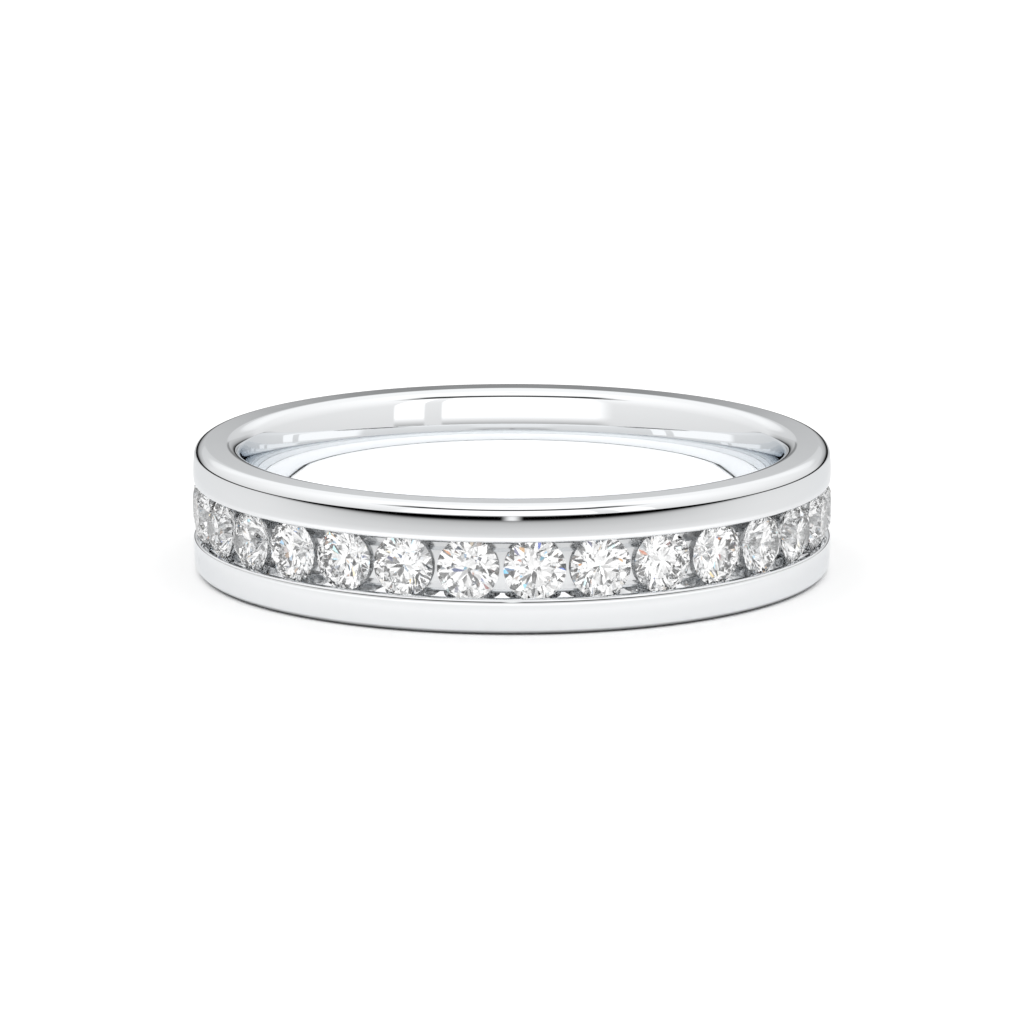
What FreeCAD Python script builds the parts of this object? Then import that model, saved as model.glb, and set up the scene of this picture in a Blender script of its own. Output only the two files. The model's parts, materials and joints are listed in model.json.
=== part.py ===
import FreeCAD, Part
import math
import os

# A channel set band: a polished metal ring with a full row of round brilliant-cut stones held between
# two rails. Millimetres. The ring lies on its side, so +Z is its axis, the front is -Y, and the origin
# is the middle of the face that it rests on.

# The ring
inside_radius = 8.65
outside_radius = 10.40
band_width = 4.20

# The comfort-fit inside: a straight land in the middle, a long shallow dome at each side of it, and a
# rounded edge, this high, into the flat side of the ring
land_width = 0.60
dome_radius = 5.45
inner_edge_height = 0.35

# The outside of each rail: a slight crown, highest at this height above the ring's middle plane, with a
# rounded edge, this high, into the flat side of the ring, and a rolled stretch, this many degrees, into
# the lip
crown_radius = 5.5
crown_middle = 1.165
outer_edge_height = 0.345
roll_radius, roll_turn = 1.0, 8.0

# The row of stones
stone_count = 30
first_stone_angle = 4.0
stone_diameter = 1.98
table_plane_radius = 10.395
table_share = 0.56
crown_angle = 34.5
girdle_thickness = 0.035
pavilion_angle = 40.75
star_share = 0.50
lower_half_share = 0.78

# The channel: the mouth between the lips and the bearings under them. In the middle of it a bed rises
# between two grooves, and each stone's point stands in a hollow of the bed.
mouth_width = 1.80
lip_radius = 0.08
channel_width = 1.54
groove_floor_radius = 9.70
bed_width = 1.06
bed_radius = 9.97
seat_clearance = 0.02
hollow_clearance = 0.05

half_width = band_width / 2
stone_radius = stone_diameter / 2
table_radius = table_share * stone_radius
crown_slope = math.tan(math.radians(crown_angle))
pavilion_slope = math.tan(math.radians(pavilion_angle))
girdle_top_radius = table_plane_radius - (stone_radius - table_radius) * crown_slope
girdle_bottom_radius = girdle_top_radius - girdle_thickness


class HalfOutline:
    """The ring's section above its middle plane, as edges from point to point. A point is its distance
    from the ring's axis and its height above the middle plane."""

    def __init__(self, radius, height):
        self.point = (radius, height)
        self.edges = []

    def line(self, radius, height):
        self.edges.append((self.point, None, (radius, height)))
        self.point = (radius, height)

    def arc(self, radius, start, end):
        """An arc about a centre, from one direction to another, in degrees from straight outwards."""
        centre_r = self.point[0] - radius * math.cos(math.radians(start))
        centre_h = self.point[1] - radius * math.sin(math.radians(start))

        def on_arc(angle):
            turn = math.radians(angle)
            return (centre_r + radius * math.cos(turn), centre_h + radius * math.sin(turn))

        self.edges.append((self.point, on_arc((start + end) / 2), on_arc(end)))
        self.point = on_arc(end)


def add_inside(outline):
    """The comfort-fit wall, from the middle plane to the flat side of the ring."""
    edge_start = half_width - inner_edge_height
    dome_sine = (edge_start - land_width / 2) / dome_radius
    dome_turn = math.degrees(math.asin(dome_sine))
    outline.line(inside_radius, land_width / 2)
    outline.arc(dome_radius, 180, 180 - dome_turn)
    outline.arc(inner_edge_height / (1 - dome_sine), 180 - dome_turn, 90)


def add_rail(outline):
    """The flat side, the rounded edge, the rail's crowned wall and its rolled lip over the stones."""
    edge_start = half_width - outer_edge_height
    edge_sine = (edge_start - crown_middle) / crown_radius
    edge_cosine = math.sqrt(1 - edge_sine**2)
    edge_turn = math.degrees(math.asin(edge_sine))
    edge_radius = outer_edge_height / (1 - edge_sine)
    crown_end = outside_radius - crown_radius * (1 - edge_cosine)
    roll_drop = (roll_radius - lip_radius) * math.sin(math.radians(roll_turn))
    roll_centre = mouth_width / 2 + lip_radius + roll_drop
    roll_start = math.degrees(math.asin((roll_centre - crown_middle) / (crown_radius - roll_radius)))
    outline.line(crown_end - edge_radius * edge_cosine, half_width)
    outline.arc(edge_radius, 90, edge_turn)
    outline.arc(crown_radius, edge_turn, roll_start)
    outline.arc(roll_radius, roll_start, -roll_turn)
    outline.arc(lip_radius, -roll_turn, -90)


def add_channel(outline):
    """The lip's underside, the notch for the girdles, the bearing, the groove and the bed, which ends on
    the middle plane. The notch's slopes run along the stones' crowns and pavilions, a clearance away."""
    notch_half = stone_radius + seat_clearance
    overlap = notch_half - mouth_width / 2
    notch_top = girdle_top_radius + seat_clearance
    notch_bottom = girdle_bottom_radius - seat_clearance
    bearing_drop = (notch_half - channel_width / 2) * pavilion_slope
    outline.line(notch_top + overlap * crown_slope, mouth_width / 2)
    outline.line(notch_top, notch_half)
    outline.line(notch_bottom, notch_half)
    outline.line(notch_bottom - bearing_drop, channel_width / 2)
    outline.line(groove_floor_radius, channel_width / 2)
    outline.line(groove_floor_radius, bed_width / 2)
    outline.line(bed_radius, bed_width / 2)
    outline.line(bed_radius, 0)


def make_hollows():
    """A cone for each stone, a clearance outside its pavilion, as wide as the bed and the grooves."""
    culet_radius = girdle_bottom_radius - stone_radius * pavilion_slope
    point_radius = culet_radius - hollow_clearance
    height = outside_radius - point_radius
    forward = FreeCAD.Vector(0, -1, 0)
    point = FreeCAD.Vector(0, -point_radius, half_width)
    cone = Part.makeCone(0, height / pavilion_slope, height, point, forward)
    slab_half = (channel_width + bed_width) / 4
    corner = FreeCAD.Vector(-outside_radius, -2 * outside_radius, half_width - slab_half)
    slab = Part.makeBox(2 * outside_radius, 2 * outside_radius, 2 * slab_half, corner)
    front_hollow = cone.common(slab)
    hollows = []
    for index in range(stone_count):
        hollow = front_hollow.copy()
        angle = first_stone_angle + index * 360 / stone_count
        hollow.rotate(FreeCAD.Vector(0, 0, 0), FreeCAD.Vector(0, 0, 1), angle)
        hollows.append(hollow)
    return hollows


def make_band():
    """The upper half of the section, mirrored to the lower half, turned round the ring's axis and
    hollowed for the stones."""
    outline = HalfOutline(inside_radius, 0)
    add_inside(outline)
    add_rail(outline)
    add_channel(outline)

    def to_vector(point, side):
        return FreeCAD.Vector(point[0], 0, half_width + side * point[1])

    edges = []
    for side in (1, -1):
        for start, middle, end in outline.edges:
            a, b = to_vector(start, side), to_vector(end, side)
            if middle is None:
                edges.append(Part.makeLine(a, b))
            else:
                edges.append(Part.Arc(a, to_vector(middle, side), b).toShape())
    wire = Part.Wire(Part.__sortEdges__(edges))
    ring = Part.Face(wire).revolve(FreeCAD.Vector(0, 0, 0), FreeCAD.Vector(0, 0, 1), 360)
    band = Part.Solid(ring) if ring.ShapeType == "Shell" else ring
    return band.cut(make_hollows()).Solids[0]


def make_front_stone():
    """A round brilliant at the very front of the ring, table outwards: 33 facets on the crown, 24 on
    the pavilion and a girdle of 16 flats."""
    eighth = 45.0

    def corner(radius, step, plane_radius):
        turn = math.radians(step * eighth)
        height = half_width + radius * math.cos(turn)
        return FreeCAD.Vector(radius * math.sin(turn), -plane_radius, height)

    half_step = math.cos(math.radians(eighth / 2))
    star_start = table_radius * half_step
    star_tip = star_start + star_share * (stone_radius - star_start)
    star_plane = table_plane_radius - (star_tip * half_step - table_radius) * crown_slope
    lower_tip = (1 - lower_half_share) * stone_radius
    lower_plane = girdle_bottom_radius - (stone_radius - lower_tip * half_step) * pavilion_slope
    culet_plane = girdle_bottom_radius - stone_radius * pavilion_slope
    culet = corner(0, 0, culet_plane)

    facets = [[corner(table_radius, step, table_plane_radius) for step in range(8)]]
    for step in range(8):
        before, after = step - 0.5, step + 0.5
        table_corner = corner(table_radius, step, table_plane_radius)
        next_corner = corner(table_radius, step + 1, table_plane_radius)
        star = corner(star_tip, after, star_plane)
        girdle = corner(stone_radius, step, girdle_top_radius)
        bottom = corner(stone_radius, step, girdle_bottom_radius)
        lower = corner(lower_tip, after, lower_plane)
        facets.append([table_corner, next_corner, star])
        facets.append([table_corner, star, girdle, corner(star_tip, before, star_plane)])
        facets.append([culet, lower, bottom, corner(lower_tip, before, lower_plane)])
        for side in (before, after):
            side_girdle = corner(stone_radius, side, girdle_top_radius)
            side_bottom = corner(stone_radius, side, girdle_bottom_radius)
            facets.append([corner(star_tip, side, star_plane), girdle, side_girdle])
            facets.append([girdle, side_girdle, side_bottom, bottom])
            facets.append([bottom, side_bottom, corner(lower_tip, side, lower_plane)])
    faces = [Part.Face(Part.makePolygon(points + [points[0]])) for points in facets]
    shell = Part.makeShell(faces)
    stone = Part.Solid(shell)
    if stone.Volume < 0:
        stone.reverse()
    return stone


def make_stones():
    """Every stone of the row, evenly spaced, named in turn from the front towards +X."""
    pitch = 360 / stone_count
    front_stone = make_front_stone()
    stones = {}
    for index in range(stone_count):
        stone = front_stone.copy()
        angle = first_stone_angle + index * pitch
        stone.rotate(FreeCAD.Vector(0, 0, 0), FreeCAD.Vector(0, 0, 1), angle)
        stones["stone_%02d" % (index + 1)] = stone
    return stones


pieces = {"band": make_band()}
pieces.update(make_stones())
os.makedirs("parts", exist_ok=True)
for name, shape in pieces.items():
    shape.exportStep("parts/%s.step" % name)
stone_volume = pieces["stone_01"].Volume
print("band: valid %s, volume %.2f mm3" % (pieces["band"].isValid(), pieces["band"].Volume))
print("stone: valid %s, volume %.3f mm3" % (pieces["stone_01"].isValid(), stone_volume))
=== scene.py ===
import json
import math

import bmesh
import bpy
from mathutils import Matrix, Vector


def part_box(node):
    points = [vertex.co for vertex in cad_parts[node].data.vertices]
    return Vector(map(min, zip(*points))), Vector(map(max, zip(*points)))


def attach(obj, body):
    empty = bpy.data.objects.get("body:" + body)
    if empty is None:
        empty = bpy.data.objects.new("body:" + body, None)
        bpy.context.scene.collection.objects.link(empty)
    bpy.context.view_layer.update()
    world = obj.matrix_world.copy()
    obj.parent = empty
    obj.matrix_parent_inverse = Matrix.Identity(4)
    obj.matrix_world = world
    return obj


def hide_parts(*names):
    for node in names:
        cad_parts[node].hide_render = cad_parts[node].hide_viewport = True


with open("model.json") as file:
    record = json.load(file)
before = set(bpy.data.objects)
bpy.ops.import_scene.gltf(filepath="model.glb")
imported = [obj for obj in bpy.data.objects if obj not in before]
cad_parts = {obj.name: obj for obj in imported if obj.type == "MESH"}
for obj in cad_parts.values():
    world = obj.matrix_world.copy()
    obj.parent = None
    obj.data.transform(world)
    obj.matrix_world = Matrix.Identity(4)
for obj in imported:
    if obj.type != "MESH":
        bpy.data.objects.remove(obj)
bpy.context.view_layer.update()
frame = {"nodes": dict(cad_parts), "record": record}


# The view
# The ring lies on its side on a white sweep and is seen from the front, a little from above, through a
# long lens.
MM = 0.001
camera_distance = 259.8 * MM
camera_elevation = math.radians(11.65)
aim_height = 1.85 * MM
ring_low, ring_high = [Vector(corner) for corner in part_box("band")]
ring_width = ring_high.z - ring_low.z
ring_radius = (ring_high.x - ring_low.x) / 2

camera_data = bpy.data.cameras.new("camera")
camera_data.lens = 279.7
camera_data.sensor_width = 36
camera_data.clip_start = 10 * MM
camera_data.clip_end = 20
camera = bpy.data.objects.new("camera", camera_data)
camera.location = (
    0,
    -camera_distance * math.cos(camera_elevation),
    ring_width / 2 + camera_distance * math.sin(camera_elevation),
)
aim = Vector((0, 0, aim_height)) - camera.location
camera.rotation_euler = aim.to_track_quat("-Z", "Y").to_euler()
bpy.context.collection.objects.link(camera)
scene = bpy.context.scene
scene.camera = camera
scene.view_settings.view_transform = "Standard"
scene.cycles.max_bounces = 20
scene.cycles.transmission_bounces = 20
scene.cycles.glossy_bounces = 12


# The studio
# A white tent on a pale table, as the polished metal shows it: a bright front wall and lamp, a dark gap
# below the roof, and a table whose colour fades into painted shade, with a painted contact shadow under
# the ring and painted light inside it and in a strip ahead. The camera itself sees a plain white
# surround.
def add_node(tree, kind, **settings):
    """A new node, with its settings: a socket's value by the socket's name, or a property."""
    node = tree.nodes.new(kind)
    for name, value in settings.items():
        socket = node.inputs.get(name.replace("_", " "))
        if socket is not None:
            socket.default_value = value
        else:
            setattr(node, name, value)
    return node


def add_math(tree, operation, first, second=0.5, clamp=False):
    node = add_node(tree, "ShaderNodeMath", operation=operation, use_clamp=clamp)
    for socket, value in zip(node.inputs, (first, second)):
        if isinstance(value, (int, float)):
            socket.default_value = value
        else:
            tree.links.new(value, socket)
    return node.outputs[0]


def add_step(tree, value, low, high, out_low=0.0, out_high=1.0):
    """A smooth step from one value to another while the input goes from low to high."""
    node = add_node(tree, "ShaderNodeMapRange", interpolation_type="SMOOTHSTEP")
    tree.links.new(value, node.inputs[0])
    for socket, number in zip(node.inputs[1:5], (low, high, out_low, out_high)):
        socket.default_value = number
    return node.outputs[0]


def add_window(tree, value, rise, fall):
    """One between two smooth steps, and zero outside them. Each step is a pair of values."""
    risen = add_step(tree, value, *rise)
    not_fallen = add_step(tree, value, *fall, 1.0, 0.0)
    return add_math(tree, "MULTIPLY", risen, not_fallen)


def add_ramp(tree, value, full, stops):
    """Brightness by a value that runs from zero to full. Each stop is a value and a brightness."""
    share = add_math(tree, "DIVIDE", value, full, clamp=True)
    ramp = add_node(tree, "ShaderNodeValToRGB")
    elements = ramp.color_ramp.elements
    while len(elements) < len(stops):
        elements.new(0.5)
    for element, (place, brightness) in zip(elements, stops):
        element.position = place / full
        element.color = (brightness, brightness, brightness, 1)
    tree.links.new(share, ramp.inputs[0])
    return ramp.outputs[0]


def mix_colours(tree, factor, first, second):
    node = add_node(tree, "ShaderNodeMix", data_type="RGBA")
    for socket, value in zip((node.inputs[0], node.inputs[6], node.inputs[7]), (factor, first, second)):
        if hasattr(value, "is_output"):
            tree.links.new(value, socket)
        else:
            socket.default_value = value
    return node.outputs[2]


def add_distance(tree, x, y):
    """The length of a level vector."""
    total = add_math(tree, "ADD", add_math(tree, "MULTIPLY", x, x), add_math(tree, "MULTIPLY", y, y))
    return add_math(tree, "SQRT", add_math(tree, "ADD", total, 1e-12))


white = (1, 1, 1, 1)
black = (0, 0, 0, 1)
# The tent's brightness by elevation in degrees
overhead = 90
front_stops = [(0, 0), (1.1, 0), (1.7, 0.42), (3.7, 0.5), (9, 1.3), (87, 1.3), (90, 0.75)]
side_stops = [
    (0, 0), (2, 0), (3, 0.85), (20, 0.95), (30, 1), (45, 1.1), (66, 1.2), (87, 1.2), (90, 0.75),
]
back_stops = [
    (0, 0), (2.5, 0.02), (4.4, 0.2), (5.7, 0.42), (8.4, 0.56), (10.4, 0.65), (11.3, 0.65), (11.4, 0.7),
    (11.65, 0.75), (17, 0.8), (20, 1), (27, 1.12), (45, 1.1), (65, 1.1), (80, 1.2), (87, 1.2),
    (90, 0.75),
]
roof_gap_stops = [(0, 0), (50, 0), (51, 0.95), (63.5, 0.95), (64.5, 0), (90, 0)]

world = bpy.data.worlds.new("studio")
world.use_nodes = True
scene.world = world
sky = world.node_tree
sky.nodes.clear()
direction = add_node(sky, "ShaderNodeTexCoord").outputs["Generated"]
parts = add_node(sky, "ShaderNodeSeparateXYZ")
sky.links.new(direction, parts.inputs[0])
elevation = add_math(sky, "MULTIPLY", add_math(sky, "ARCSINE", parts.outputs["Z"]), math.degrees(1))
forward = add_math(sky, "MULTIPLY", parts.outputs["Y"], -1.0)
frontness = add_math(sky, "DIVIDE", forward, add_distance(sky, parts.outputs["X"], parts.outputs["Y"]))
bearing = add_math(sky, "ARCTAN2", parts.outputs["X"], forward)
bearing = add_math(sky, "MULTIPLY", bearing, math.degrees(1))
off_front = add_math(sky, "ABSOLUTE", bearing)

front_wall = add_window(sky, bearing, (-46, -35), (30, 31.5))
side_lamp = add_window(sky, bearing, (38, 39.5), (52, 53.5))
lit = add_math(sky, "MAXIMUM", front_wall, side_lamp)
sides = add_ramp(sky, elevation, overhead, side_stops)
tent = mix_colours(sky, lit, sides, add_ramp(sky, elevation, overhead, front_stops))
gap_share = add_step(sky, off_front, 50, 75, 1.0, 0.0)
roof_gap = add_math(sky, "MULTIPLY", add_ramp(sky, elevation, overhead, roof_gap_stops), gap_share)
tent = mix_colours(sky, roof_gap, tent, black)
back_share = add_step(sky, frontness, -0.75, -0.93)
tent = mix_colours(sky, back_share, tent, add_ramp(sky, elevation, overhead, back_stops))
straight_back = add_step(sky, off_front, 177.1, 179.4)
shade = add_math(sky, "MULTIPLY", straight_back, add_step(sky, elevation, 10.85, 11.35, 0.52, 0.0))
tent = mix_colours(sky, shade, tent, black)
straight_ahead = add_step(sky, off_front, 0.3, 4.3, 1.0, 0.0)
table_gap = add_math(sky, "MULTIPLY", straight_ahead, add_step(sky, elevation, 2.0, 2.8, 1.0, 0.0))
tent = mix_colours(sky, table_gap, tent, white)
path = add_node(sky, "ShaderNodeLightPath")
patch_edge = (0.41, 0.45)
patch_darkest = 0.05
colour_shifts = (0.0, 0.004, 0.008)
patches = []
for shift in colour_shifts:
    moved = add_node(sky, "ShaderNodeVectorMath", operation="ADD")
    moved.inputs[1].default_value = (shift, shift, shift)
    sky.links.new(direction, moved.inputs[0])
    clutter = add_node(sky, "ShaderNodeTexNoise", Scale=3.2, Detail=1.0, Roughness=0.4)
    sky.links.new(moved.outputs[0], clutter.inputs["Vector"])
    patches.append(add_step(sky, clutter.outputs["Fac"], *patch_edge, patch_darkest, 1.0))
through_stone = add_node(sky, "ShaderNodeCombineColor")
for socket, patch in zip(through_stone.inputs, patches):
    sky.links.new(patch, socket)
darker = add_node(sky, "ShaderNodeMix", data_type="RGBA", blend_type="MULTIPLY")
sky.links.new(path.outputs["Is Transmission Ray"], darker.inputs[0])
sky.links.new(tent, darker.inputs[6])
sky.links.new(through_stone.outputs[0], darker.inputs[7])
tent = darker.outputs[2]
tent = mix_colours(sky, path.outputs["Is Diffuse Ray"], tent, white)
tent = mix_colours(sky, path.outputs["Is Camera Ray"], tent, white)
background = add_node(sky, "ShaderNodeBackground", Strength=1.0)
sky.links.new(tent, background.inputs["Color"])
sky.links.new(background.outputs[0], add_node(sky, "ShaderNodeOutputWorld").inputs[0])

floor_half = 3.0
floor_corners = [(-1, -1), (1, -1), (1, 1), (-1, 1)]
floor_mesh = bpy.data.meshes.new("floor")
floor_points = [(x * floor_half, y * floor_half, 0) for x, y in floor_corners]
floor_mesh.from_pydata(floor_points, [], [(0, 1, 2, 3)])
floor = bpy.data.objects.new("floor", floor_mesh)
bpy.context.collection.objects.link(floor)
floor_paint = bpy.data.materials.new("white_sweep")
floor_paint.use_nodes = True
paint = floor_paint.node_tree
paint.nodes.clear()
place = add_node(paint, "ShaderNodeSeparateXYZ")
paint.links.new(add_node(paint, "ShaderNodeTexCoord").outputs["Object"], place.inputs[0])
radius = add_distance(paint, place.outputs["X"], place.outputs["Y"])
frontness = add_math(paint, "DIVIDE", add_math(paint, "MULTIPLY", place.outputs["Y"], -1.0), radius)
away = add_math(paint, "DIVIDE", add_math(paint, "SUBTRACT", radius, ring_radius), MM)
# The table's painted light and shade as the metal sees it, by distance from the ring in millimetres
furthest = 150
front_floor_stops = [
    (0, 1.15), (3, 1.12), (4.5, 0.98), (5.8, 1.2), (8, 1.25), (10.5, 1.05), (12.5, 0.9), (15, 0.8),
    (17, 0.74), (32, 0.63), (40, 0.59), (47, 0.56), (55, 0.5), (68, 0.37), (87, 0.16), (110, 0.03),
    (142, 0),
]
side_floor_stops = [(0, 1.1), (5, 1), (12, 0.87), (60, 0.8), (90, 0.4), (120, 0)]
back_floor_stops = [(0, 1.1), (9, 0.9), (18, 0.7), (50, 0.6), (80, 0.4), (110, 0)]
in_front = add_ramp(paint, away, furthest, front_floor_stops)
at_sides = add_ramp(paint, away, furthest, side_floor_stops)
sideways = add_math(paint, "ABSOLUTE", add_math(paint, "DIVIDE", place.outputs["X"], radius))
# A narrow strip straight ahead, 70 to 110 mm out, is painted white: a painted bright spot
narrow = add_step(paint, sideways, 0.005, 0.072, 1.0, 0.0)
painted_light_spot = add_math(paint, "MULTIPLY", narrow, add_step(paint, away, 70, 110))
in_front = mix_colours(paint, painted_light_spot, in_front, white)
# As the metal sees it, the table's colour is painted: light near the ring, shade further out
seen_by_metal = mix_colours(paint, add_step(paint, frontness, -0.1, 1.0), at_sides, in_front)
at_back = add_ramp(paint, away, furthest, back_floor_stops)
seen_by_metal = mix_colours(paint, add_step(paint, frontness, -0.75, -0.9), seen_by_metal, at_back)
# Inside the ring the table is painted brighter than white: painted light against the ring's own shade
inside = add_step(paint, away, -0.9, -0.7, 1.0, 0.0)
painted_light_inside = (1.5, 1.5, 1.5, 1)
seen_by_metal = mix_colours(paint, inside, seen_by_metal, painted_light_inside)
# Where the ring stands on the table, the table is painted dark: a painted contact shadow
contact_shadow_depth = 0.8
under_ring = add_window(paint, away, (-1.4, -1.25), (-0.3, 0.0))
painted_contact_shadow = add_math(paint, "MULTIPLY", under_ring, contact_shadow_depth)
seen_by_metal = mix_colours(paint, painted_contact_shadow, seen_by_metal, black)
seen_by_camera = (1.15, 1.15, 1.15, 1)
floor_path = add_node(paint, "ShaderNodeLightPath")
paleness = mix_colours(paint, floor_path.outputs["Is Camera Ray"], seen_by_metal, seen_by_camera)
matt = add_node(paint, "ShaderNodeBsdfDiffuse")
paint.links.new(paleness, matt.inputs["Color"])
paint.links.new(matt.outputs[0], add_node(paint, "ShaderNodeOutputMaterial").inputs[0])
floor_mesh.materials.append(floor_paint)


# The band
# One solid ring of white metal, cast, turned and polished: comfort-fit inside, with two rails and the
# channel between them on the outside. Its section is turned once round the ring's axis.
finger_hole = next(m for m in frame["record"]["mounts"] if m["name"] == "finger_hole")
inside_radius = finger_hole["dims"]["r_mm"] * MM
land_width = finger_hole["dims"]["length_mm"] * MM
half_width = ring_width / 2
turns_round = 288
broad_step, edge_step = 0.75, 3.0
support = 0.02 * MM

dome_radius = 5.45 * MM
inner_edge_height = 0.35 * MM
crown_radius = 5.5 * MM
crown_middle = 1.165 * MM
outer_edge_height = 0.345 * MM
outside_radius = ring_radius
roll_radius, roll_turn = 1.0 * MM, 8.0
mouth_half = 0.90 * MM
lip_radius = 0.08 * MM
channel_half = 0.77 * MM
channel_floor = 9.05 * MM

stone_radius = 0.99 * MM
table_plane = 10.395 * MM
table_share = 0.56
crown_slope = math.tan(math.radians(34.5))
pavilion_slope = math.tan(math.radians(40.75))
girdle_thickness = 0.035 * MM
seat_clearance = 0.02 * MM
girdle_top = table_plane - (1 - table_share) * stone_radius * crown_slope
girdle_bottom = girdle_top - girdle_thickness


class Section:
    """Half of the ring's section, as points: distance from the axis, height above the middle."""

    def __init__(self, radius, height):
        self.points = [(radius, height)]

    def line(self, radius, height):
        """A straight run, with a point close to each end, so that its face shades flat."""
        start, end = Vector(self.points[-1]), Vector((radius, height))
        along = (end - start).normalized() * min(support, (end - start).length / 3)
        self.points += [tuple(start + along), tuple(end - along), tuple(end)]

    def arc(self, radius, start, end, arc_step):
        """An arc between two directions, in degrees from straight outwards."""
        centre_r = self.points[-1][0] - radius * math.cos(math.radians(start))
        centre_h = self.points[-1][1] - radius * math.sin(math.radians(start))
        steps = max(2, math.ceil(abs(end - start) / arc_step))
        for step in range(1, steps + 1):
            turn = math.radians(start + (end - start) * step / steps)
            self.points.append((centre_r + radius * math.cos(turn), centre_h + radius * math.sin(turn)))


inner_edge_start = half_width - inner_edge_height
dome_sine = (inner_edge_start - land_width / 2) / dome_radius
dome_turn = math.degrees(math.asin(dome_sine))
edge_sine = (half_width - outer_edge_height - crown_middle) / crown_radius
edge_turn = math.degrees(math.asin(edge_sine))
edge_cosine = math.cos(math.radians(edge_turn))
edge_radius = outer_edge_height / (1 - edge_sine)
flat_end = outside_radius - crown_radius * (1 - edge_cosine) - edge_radius * edge_cosine
roll_drop = (roll_radius - lip_radius) * math.sin(math.radians(roll_turn))
roll_middle = mouth_half + lip_radius + roll_drop
roll_start = math.degrees(math.asin((roll_middle - crown_middle) / (crown_radius - roll_radius)))
notch_half = stone_radius + seat_clearance
notch_top = girdle_top + seat_clearance
notch_bottom = girdle_bottom - seat_clearance

section = Section(inside_radius, 0)
section.line(inside_radius, land_width / 2)
section.arc(dome_radius, 180, 180 - dome_turn, broad_step)
section.arc(inner_edge_height / (1 - dome_sine), 180 - dome_turn, 90, edge_step)
section.line(flat_end, half_width)
section.arc(edge_radius, 90, edge_turn, edge_step)
section.arc(crown_radius, edge_turn, roll_start, broad_step)
section.arc(roll_radius, roll_start, -roll_turn, broad_step)
section.arc(lip_radius, -roll_turn, -90, 2 * edge_step)
section.line(notch_top + (notch_half - mouth_half) * crown_slope, mouth_half)
section.line(notch_top, notch_half)
section.line(notch_bottom, notch_half)
section.line(notch_bottom - (notch_half - channel_half) * pavilion_slope, channel_half)
section.line(channel_floor, channel_half)
section.line(channel_floor, 0)


def section_object(half, name):
    """A half section and its mirror image, as one closed outline for the sweep round the ring."""
    upper = half.points[1:-1]
    lower = [(r, -h) for r, h in reversed(upper)]
    outline = [half.points[0]] + upper + [half.points[-1]] + lower
    rows = [(r - outside_radius, -h, 0) for r, h in outline]
    edges = [(i, (i + 1) % len(rows)) for i in range(len(rows))]
    mesh = bpy.data.meshes.new(name)
    mesh.from_pydata(rows, edges, [])
    maker = bpy.data.objects.new(name, mesh)
    bpy.context.collection.objects.link(maker)
    return maker


def new_tree(name, inputs):
    """An empty Geometry Nodes tree with geometry in and out and the named inputs."""
    tree = bpy.data.node_groups.new(name, "GeometryNodeTree")
    tree.interface.new_socket("Geometry", in_out="INPUT", socket_type="NodeSocketGeometry")
    for label, kind in inputs:
        tree.interface.new_socket(label, in_out="INPUT", socket_type=kind)
    tree.interface.new_socket("Geometry", in_out="OUTPUT", socket_type="NodeSocketGeometry")
    return tree, tree.nodes.new("NodeGroupInput"), tree.nodes.new("NodeGroupOutput")


def run_tree(maker, tree, values, name):
    """Sets the tree's inputs, runs it on the maker and keeps the result as a plain mesh piece."""
    modifier = maker.modifiers.new(name, "NODES")
    modifier.node_group = tree
    for item in tree.interface.items_tree:
        if item.item_type == "SOCKET" and item.in_out == "INPUT" and item.name in values:
            modifier[item.identifier] = values[item.name]
    graph = bpy.context.evaluated_depsgraph_get()
    mesh = bpy.data.meshes.new_from_object(maker.evaluated_get(graph), depsgraph=graph)
    bpy.data.objects.remove(maker)
    mesh.name = name
    piece = bpy.data.objects.new(name, mesh)
    bpy.context.collection.objects.link(piece)
    return piece


def white_metal(name, smoothest, roughest, shade_dimming=1.0):
    """White metal: a faint trace of the polishing wheel, and a slight unevenness. Any dimming of its
    colour is painted shade.
    """
    metal = bpy.data.materials.new(name)
    metal.use_nodes = True
    tree = metal.node_tree
    links = tree.links
    shader = tree.nodes["Principled BSDF"]
    shader.inputs["Metallic"].default_value = 1
    shader.inputs["Specular Tint"].default_value = (0.92, 0.93, 0.94, 1)
    coordinates = add_node(tree, "ShaderNodeTexCoord").outputs["Object"]
    place = add_node(tree, "ShaderNodeSeparateXYZ")
    links.new(coordinates, place.inputs[0])
    round_place = add_node(tree, "ShaderNodeCombineXYZ")
    links.new(add_distance(tree, place.outputs["X"], place.outputs["Y"]), round_place.inputs["X"])
    links.new(place.outputs["Z"], round_place.inputs["Z"])
    wheel_lines = add_node(tree, "ShaderNodeTexNoise", Scale=9000.0, Detail=3.0, Roughness=0.6)
    links.new(round_place.outputs[0], wheel_lines.inputs["Vector"])
    cloud = add_node(tree, "ShaderNodeTexNoise", Scale=900.0, Detail=2.0)
    links.new(coordinates, cloud.inputs["Vector"])
    both = add_math(tree, "MULTIPLY", wheel_lines.outputs["Fac"], cloud.outputs["Fac"])
    links.new(add_step(tree, both, 0.1, 0.5, smoothest, roughest), shader.inputs["Roughness"])
    # The dimming darkens the colour: painted shade
    deep_tone = [shade_dimming * channel for channel in (0.845, 0.857, 0.868)] + [1]
    pale_tone = [shade_dimming * channel for channel in (0.86, 0.87, 0.88)] + [1]
    tone = mix_colours(tree, cloud.outputs["Fac"], deep_tone, pale_tone)
    links.new(tone, shader.inputs["Base Color"])
    swell = add_node(tree, "ShaderNodeTexNoise", Scale=420.0, Detail=1.0)
    links.new(coordinates, swell.inputs["Vector"])
    bump = add_node(tree, "ShaderNodeBump", Strength=0.25, Distance=0.0015 * MM)
    links.new(swell.outputs["Fac"], bump.inputs["Height"])
    links.new(bump.outputs["Normal"], shader.inputs["Normal"])
    return metal


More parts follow.
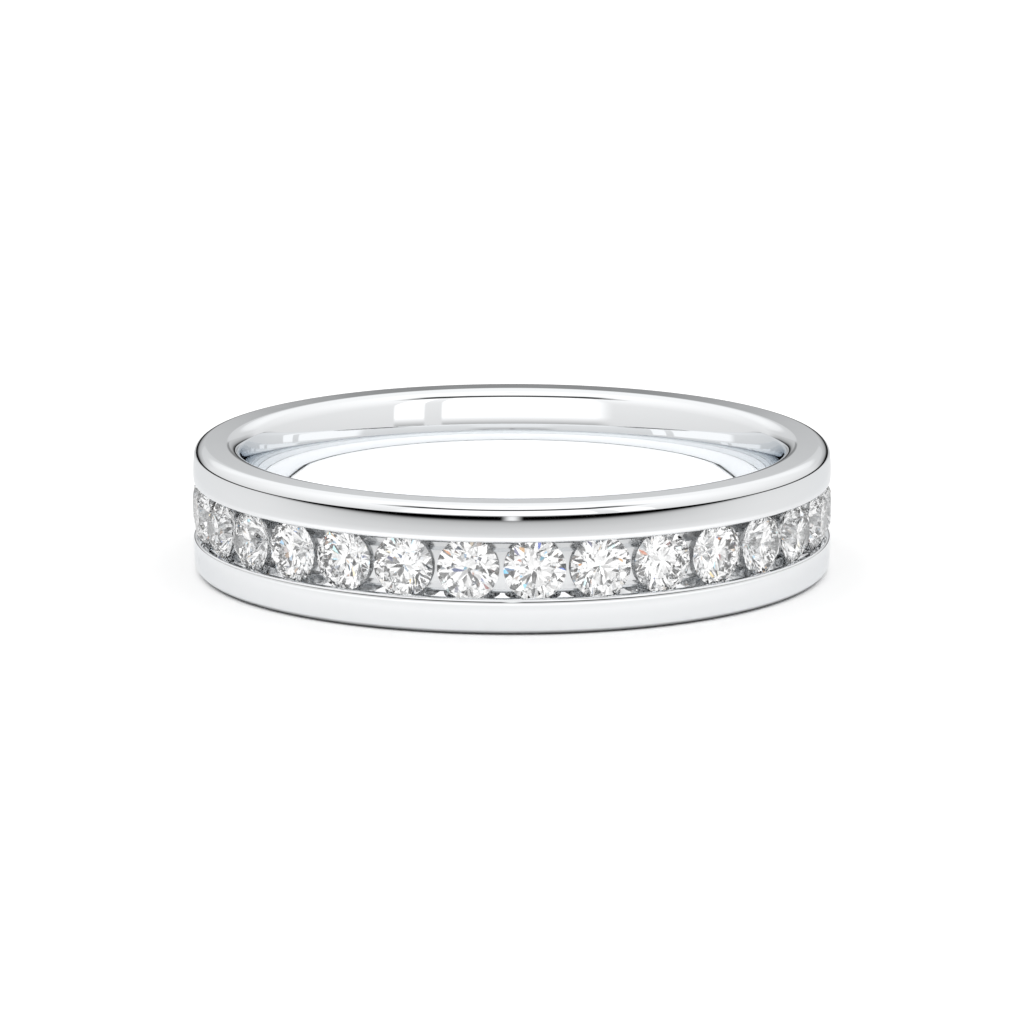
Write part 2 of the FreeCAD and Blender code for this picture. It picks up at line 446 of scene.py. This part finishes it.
def add_row(tree, instance, count, radius, first_angle):
    """An instance at each of the evenly spaced places round the ring, its Z axis outwards, realized."""
    places = add_node(tree, "GeometryNodeMeshCircle", fill_type="NONE")
    tree.links.new(count, places.inputs["Vertices"])
    tree.links.new(radius, places.inputs["Radius"])
    turn = add_node(tree, "ShaderNodeCombineXYZ")
    tree.links.new(first_angle, turn.inputs["Z"])
    turned = add_node(tree, "GeometryNodeTransform")
    tree.links.new(turn.outputs[0], turned.inputs["Rotation"])
    tree.links.new(places.outputs[0], turned.inputs["Geometry"])
    where = add_node(tree, "GeometryNodeInputPosition")
    face_out = add_node(tree, "FunctionNodeAlignRotationToVector", axis="Z", pivot_axis="AUTO")
    tree.links.new(where.outputs[0], face_out.inputs["Vector"])
    stand = add_node(tree, "GeometryNodeInstanceOnPoints")
    tree.links.new(turned.outputs[0], stand.inputs["Points"])
    tree.links.new(instance, stand.inputs["Instance"])
    tree.links.new(face_out.outputs[0], stand.inputs["Rotation"])
    realize = add_node(tree, "GeometryNodeRealizeInstances")
    tree.links.new(stand.outputs[0], realize.inputs["Geometry"])
    return realize.outputs[0]


def add_sweep(tree, section_mesh, radius, turns):
    """The section carried round the ring."""
    to_curve = add_node(tree, "GeometryNodeMeshToCurve")
    circle = add_node(tree, "GeometryNodeCurvePrimitiveCircle")
    sweep = add_node(tree, "GeometryNodeCurveToMesh")
    tree.links.new(section_mesh, to_curve.inputs["Mesh"])
    tree.links.new(turns, circle.inputs["Resolution"])
    tree.links.new(radius, circle.inputs["Radius"])
    tree.links.new(circle.outputs["Curve"], sweep.inputs["Curve"])
    tree.links.new(to_curve.outputs["Curve"], sweep.inputs["Profile Curve"])
    return sweep.outputs["Mesh"]


def add_finish(tree, tree_out, mesh, material):
    """Ends the tree: instances realized, material set."""
    realize = add_node(tree, "GeometryNodeRealizeInstances")
    finish = add_node(tree, "GeometryNodeSetMaterial")
    tree.links.new(mesh, realize.inputs["Geometry"])
    tree.links.new(realize.outputs["Geometry"], finish.inputs["Geometry"])
    tree.links.new(material, finish.inputs["Material"])
    tree.links.new(finish.outputs["Geometry"], tree_out.inputs["Geometry"])


turn_tree, turn_in, turn_out = new_tree(
    "turn_section",
    [("Radius", "NodeSocketFloat"), ("Turns", "NodeSocketInt"), ("Metal", "NodeSocketMaterial")],
)
turned = add_sweep(
    turn_tree, turn_in.outputs["Geometry"], turn_in.outputs["Radius"], turn_in.outputs["Turns"]
)
smooth = add_node(turn_tree, "GeometryNodeSetShadeSmooth")
turn_tree.links.new(turned, smooth.inputs["Geometry"])
add_finish(turn_tree, turn_out, smooth.outputs["Geometry"], turn_in.outputs["Metal"])
band = run_tree(
    section_object(section, "band_section"),
    turn_tree,
    {
        "Radius": outside_radius,
        "Turns": turns_round,
        "Metal": white_metal("polished_white_metal", 0.012, 0.045),
    },
    "polished_band",
)
band.data.transform(Matrix.Translation((0, 0, half_width)))
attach(band, "root")
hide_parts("band")


# The bed of the channel
# The band's own metal between two grooves, as it was cast, with a conical hollow for the point of each
# stone. Its section is turned as the band's is, and cones in a row are taken away from it.
groove_floor = 9.70 * MM
bed_half = 0.53 * MM
bed_radius = 9.97 * MM
buried = 0.01 * MM
hollow_clearance = 0.05 * MM
hollow_point = girdle_bottom - stone_radius * pavilion_slope - hollow_clearance
hollow_top = bed_radius + 2 * buried
stone_nodes = sorted(n for n in frame["nodes"] if n.startswith("stone_"))
first_low, first_high = [Vector(corner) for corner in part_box(stone_nodes[0])]
first_middle = (first_low + first_high) / 2
first_angle = math.atan2(first_middle.y, first_middle.x)

bed_section = Section(channel_floor + buried, 0)
bed_section.points += [
    (channel_floor + buried, channel_half + buried),
    (groove_floor, channel_half + buried),
    (groove_floor, bed_half),
    (bed_radius, bed_half),
    (bed_radius, 0),
]
bed_tree, bed_in, bed_out = new_tree(
    "hollowed_bed",
    [
        ("Radius", "NodeSocketFloat"),
        ("Turns", "NodeSocketInt"),
        ("Count", "NodeSocketInt"),
        ("First Angle", "NodeSocketFloat"),
        ("Point Radius", "NodeSocketFloat"),
        ("Cone Depth", "NodeSocketFloat"),
        ("Cone Radius", "NodeSocketFloat"),
        ("Metal", "NodeSocketMaterial"),
    ],
)
links = bed_tree.links
cone = add_node(bed_tree, "GeometryNodeMeshCone", Vertices=64, Radius_Bottom=0.0)
links.new(bed_in.outputs["Cone Radius"], cone.inputs["Radius Top"])
links.new(bed_in.outputs["Cone Depth"], cone.inputs["Depth"])
cones = add_row(
    bed_tree, cone.outputs["Mesh"], bed_in.outputs["Count"], bed_in.outputs["Point Radius"],
    bed_in.outputs["First Angle"],
)
bed_ring = add_sweep(
    bed_tree, bed_in.outputs["Geometry"], bed_in.outputs["Radius"], bed_in.outputs["Turns"]
)
cut_away = add_node(bed_tree, "GeometryNodeMeshBoolean", operation="DIFFERENCE", solver="EXACT")
links.new(bed_ring, cut_away.inputs["Mesh 1"])
links.new(cones, cut_away.inputs["Mesh 2"])
bed_smooth = add_node(bed_tree, "GeometryNodeSetShadeSmooth")
links.new(cut_away.outputs["Mesh"], bed_smooth.inputs["Geometry"])
edge_angle = add_node(bed_tree, "GeometryNodeInputMeshEdgeAngle")
sharp = add_node(bed_tree, "GeometryNodeSetShadeSmooth", domain="EDGE")
sharp.inputs["Shade Smooth"].default_value = False
links.new(bed_smooth.outputs["Geometry"], sharp.inputs["Geometry"])
is_sharp = add_math(bed_tree, "GREATER_THAN", edge_angle.outputs["Unsigned Angle"], math.radians(25))
links.new(is_sharp, sharp.inputs["Selection"])
add_finish(bed_tree, bed_out, sharp.outputs["Geometry"], bed_in.outputs["Metal"])
bed = run_tree(
    section_object(bed_section, "bed_section"),
    bed_tree,
    {
        "Radius": outside_radius,
        "Turns": turns_round,
        "Count": len(stone_nodes),
        "First Angle": first_angle,
        "Point Radius": hollow_point,
        "Cone Depth": hollow_top - hollow_point,
        "Cone Radius": (hollow_top - hollow_point) / pavilion_slope,
        # The bed's metal is dimmed: painted shade for the channel under the stones
        "Metal": white_metal("cast_white_metal", 0.16, 0.24, 0.84),
    },
    "stone_bed",
)
bed.data.transform(Matrix.Translation((0, 0, half_width)))
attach(bed, "root")
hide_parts("band")


# The stones
# Round brilliants of one size, each ground to 57 facets from a round preform and held by its girdle
# under the two lips, table outwards, in an even row all the way round.
girdle_sides = 64
star_share = 0.50
lower_half_share = 0.78


def brilliant_mesh():
    """One brilliant about the Z axis, its table at the top and its girdle's top at zero."""
    crown_height = (1 - table_share) * stone_radius * crown_slope
    depth = stone_radius * pavilion_slope
    mesh = bmesh.new()
    bmesh.ops.create_cone(
        mesh,
        cap_ends=True,
        segments=girdle_sides,
        radius1=stone_radius,
        radius2=stone_radius,
        depth=2 * depth + 2 * girdle_thickness,
        matrix=Matrix.Rotation(math.pi / girdle_sides, 4, "Z"),
    )

    def grind(point, normal):
        every = mesh.verts[:] + mesh.edges[:] + mesh.faces[:]
        cut = bmesh.ops.bisect_plane(
            mesh, geom=every, plane_co=point, plane_no=normal, clear_outer=True, dist=1e-8
        )
        rim = [e for e in cut["geom_cut"] if isinstance(e, bmesh.types.BMEdge)]
        if len(rim) > 2:
            bmesh.ops.contextual_create(mesh, geom=rim)

    def plane_of(points):
        a, b, c = [Vector(p) for p in points]
        normal = (b - a).cross(c - a).normalized()
        return a, normal if normal.dot(a) > 0 else -normal

    def spot(radius, eighths, height):
        turn = math.radians(eighths * 45)
        return Vector((radius * math.cos(turn), radius * math.sin(turn), height))

    table_radius = table_share * stone_radius
    half = math.cos(math.radians(22.5))
    star_start = table_radius * half
    star_tip = star_start + star_share * (stone_radius - star_start)
    star_height = crown_height - (star_tip * half - table_radius) * crown_slope
    lower_tip = (1 - lower_half_share) * stone_radius
    lower_height = -girdle_thickness - (stone_radius - lower_tip * half) * pavilion_slope
    grind(Vector((0, 0, crown_height)), Vector((0, 0, 1)))
    for k in range(8):
        turn = math.radians(45 * k)
        outward = Vector((math.cos(turn), math.sin(turn), 0))
        grind(spot(stone_radius, k, 0), (outward * crown_slope + Vector((0, 0, 1))).normalized())
        low = (outward * pavilion_slope - Vector((0, 0, 1))).normalized()
        grind(spot(stone_radius, k, -girdle_thickness), low)
    for k in range(8):
        middle = k + 0.5
        star = spot(star_tip, middle, star_height)
        table_corners = [spot(table_radius, side, crown_height) for side in (k, k + 1)]
        grind(*plane_of(table_corners + [star]))
        lower = spot(lower_tip, middle, lower_height)
        for side in (k, k + 1):
            grind(*plane_of([star, spot(stone_radius, side, 0), spot(stone_radius, middle, 0)]))
            bottom = spot(stone_radius, side, -girdle_thickness)
            grind(*plane_of([lower, bottom, spot(stone_radius, middle, -girdle_thickness)]))
    bmesh.ops.recalc_face_normals(mesh, faces=mesh.faces[:])
    data = bpy.data.meshes.new("brilliant")
    mesh.to_mesh(data)
    mesh.free()
    return data


def cut_stone():
    stone = bpy.data.materials.new("cut_stone")
    stone.use_nodes = True
    shader = stone.node_tree.nodes["Principled BSDF"]
    shader.inputs["Base Color"].default_value = (1, 1, 1, 1)
    shader.inputs["Roughness"].default_value = 0
    shader.inputs["IOR"].default_value = 2.417
    shader.inputs["Transmission Weight"].default_value = 1
    return stone


row_tree, row_in, row_out = new_tree(
    "stone_row",
    [
        ("Count", "NodeSocketInt"),
        ("Girdle Radius", "NodeSocketFloat"),
        ("First Angle", "NodeSocketFloat"),
        ("Stone", "NodeSocketMaterial"),
    ],
)
row = add_row(
    row_tree, row_in.outputs["Geometry"], row_in.outputs["Count"], row_in.outputs["Girdle Radius"],
    row_in.outputs["First Angle"],
)
add_finish(row_tree, row_out, row, row_in.outputs["Stone"])

stone_maker = bpy.data.objects.new("brilliant", brilliant_mesh())
bpy.context.collection.objects.link(stone_maker)
stones = run_tree(
    stone_maker,
    row_tree,
    {
        "Count": len(stone_nodes),
        "Girdle Radius": girdle_top,
        "First Angle": first_angle,
        "Stone": cut_stone(),
    },
    "stone_row",
)
stones.data.transform(Matrix.Translation((0, 0, half_width)))
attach(stones, "root")
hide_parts(*stone_nodes)
